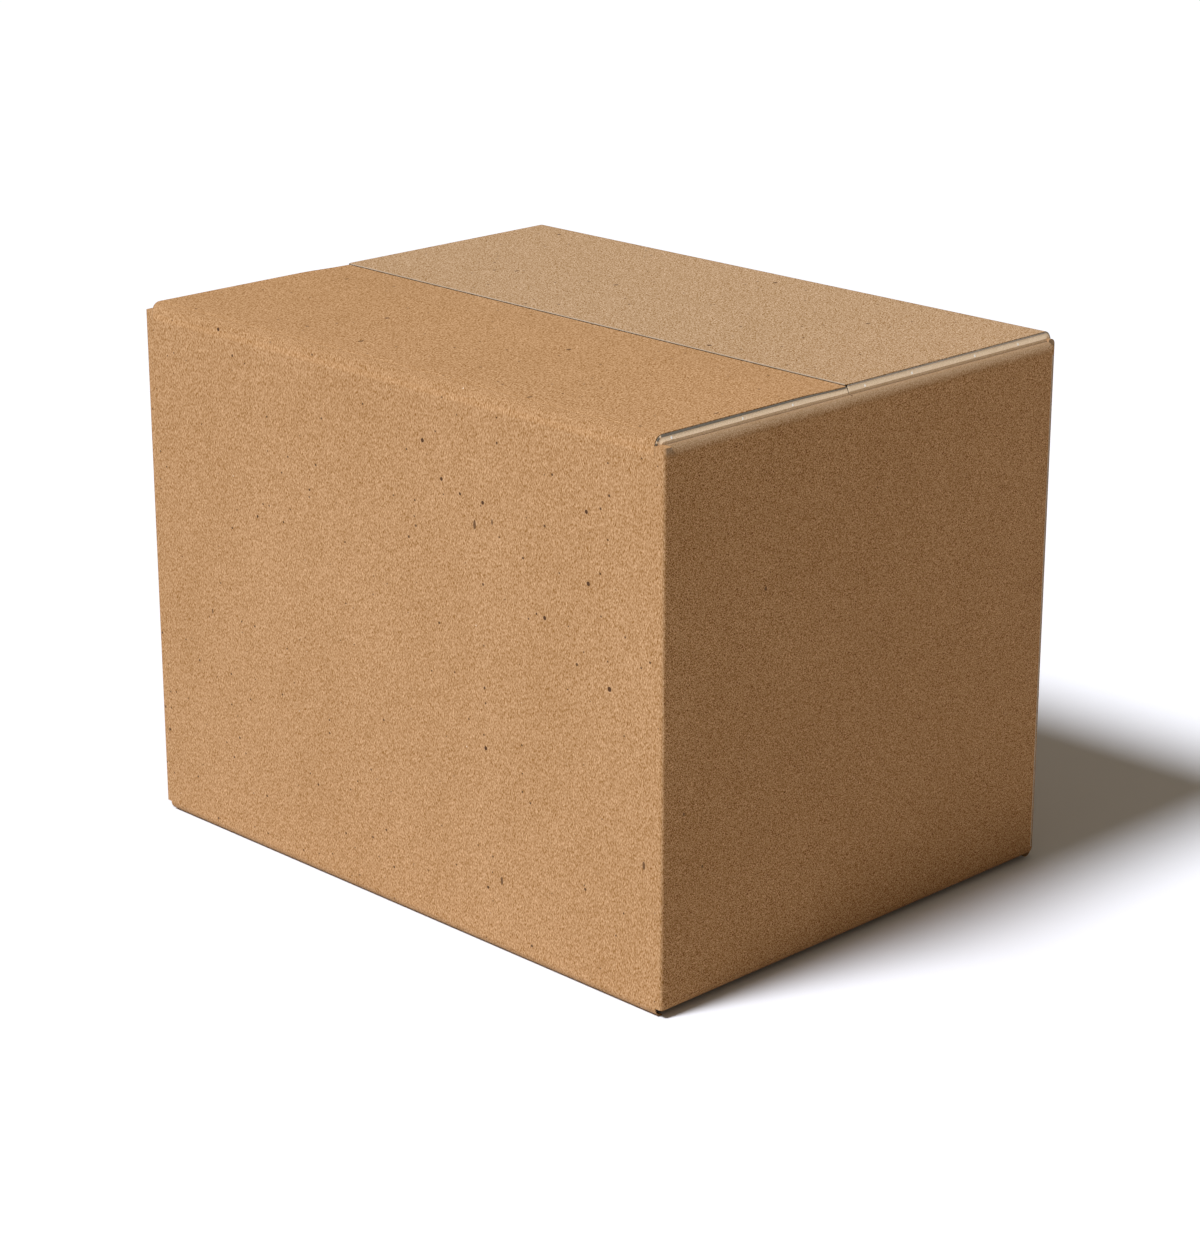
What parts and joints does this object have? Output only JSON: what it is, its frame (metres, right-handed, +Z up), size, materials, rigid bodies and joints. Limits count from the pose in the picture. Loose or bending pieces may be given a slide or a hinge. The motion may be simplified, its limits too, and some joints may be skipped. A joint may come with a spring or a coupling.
{
  "type": "closed cardboard box",
  "caption": "Closed slotted shipping box of corrugated cardboard, with hinged long top flaps that meet at a seam over folded-in short flaps and a glued floor.",
  "frame": {"origin": "on the ground under the middle of the box", "axes": "+X along the length, to the right end panel; +Y along the depth, to the rear panel; +Z up"},
  "size_m": [0.316, 0.237, 0.237],
  "materials": {
    "kraft_board": "matt"
  },
  "bodies": {
    "carton": {"carton_body": "kraft_board"},
    "front_flap": {"front_top_flap": "kraft_board"},
    "rear_flap": {"rear_top_flap": "kraft_board"}
  },
  "joints": [
    {"name": "front_fold", "type": "hinge", "parent": "carton", "child": "front_flap", "pos_m": [0, -0.1185, 0.237], "axis": [1, 0, 0], "range_deg": [0, 250]},
    {"name": "rear_fold", "type": "hinge", "parent": "carton", "child": "rear_flap", "pos_m": [0, 0.1185, 0.237], "axis": [-1, 0, 0], "range_deg": [0, 250]}
  ]
}
